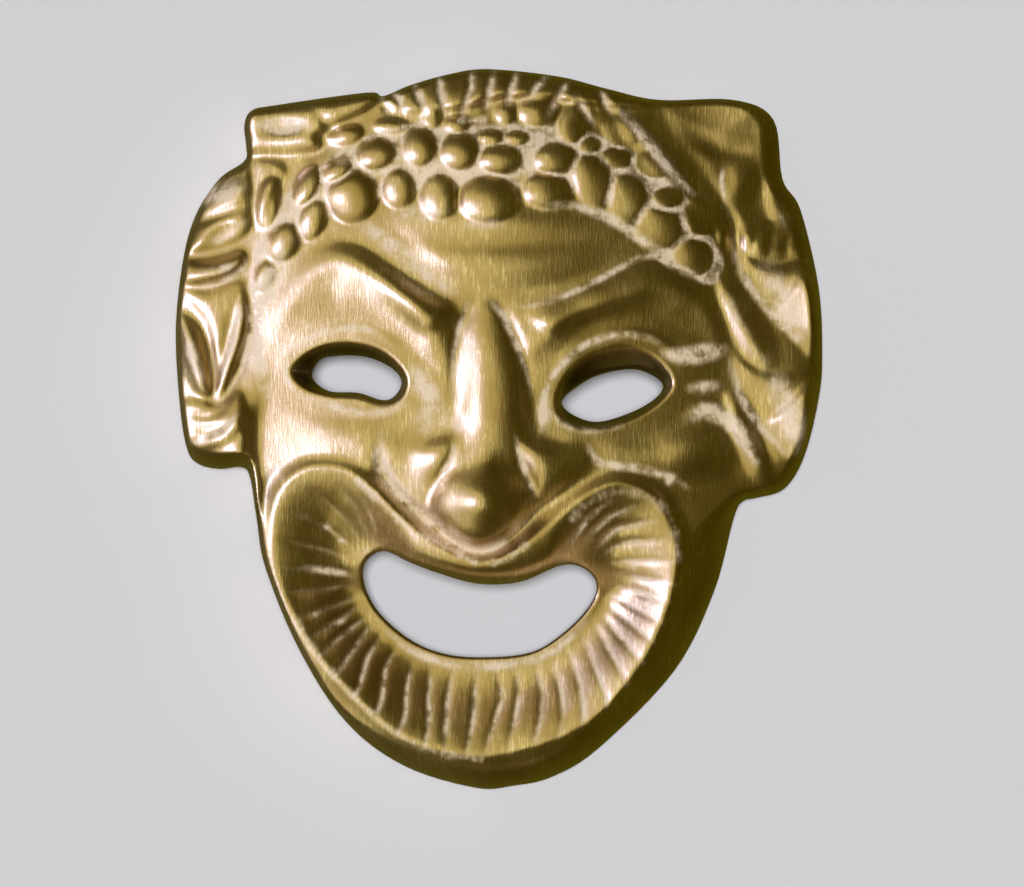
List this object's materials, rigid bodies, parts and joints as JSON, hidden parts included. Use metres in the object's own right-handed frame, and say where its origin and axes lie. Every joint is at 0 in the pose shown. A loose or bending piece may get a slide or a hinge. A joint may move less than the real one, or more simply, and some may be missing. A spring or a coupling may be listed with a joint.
{
  "type": "copper mask",
  "caption": "Grinning comedy mask in thin gold-brown metal, with a wreath of berries, combed hair, side leaves and a fluted open mouth; hollow behind.",
  "frame": {"origin": "on the plane of the flat back rim, below the middle of the bounding box", "axes": "+Z out of the face, +Y to the crown of the head, +X to the viewer's right; the mask lies face up on its rim"},
  "size_m": [0.1796, 0.1998, 0.0552],
  "materials": {
    "metal": "rubbed golden copper alloy with a pale bloom in its recesses"
  },
  "bodies": {
    "root": {"mask": "metal"}
  },
  "joints": []
}
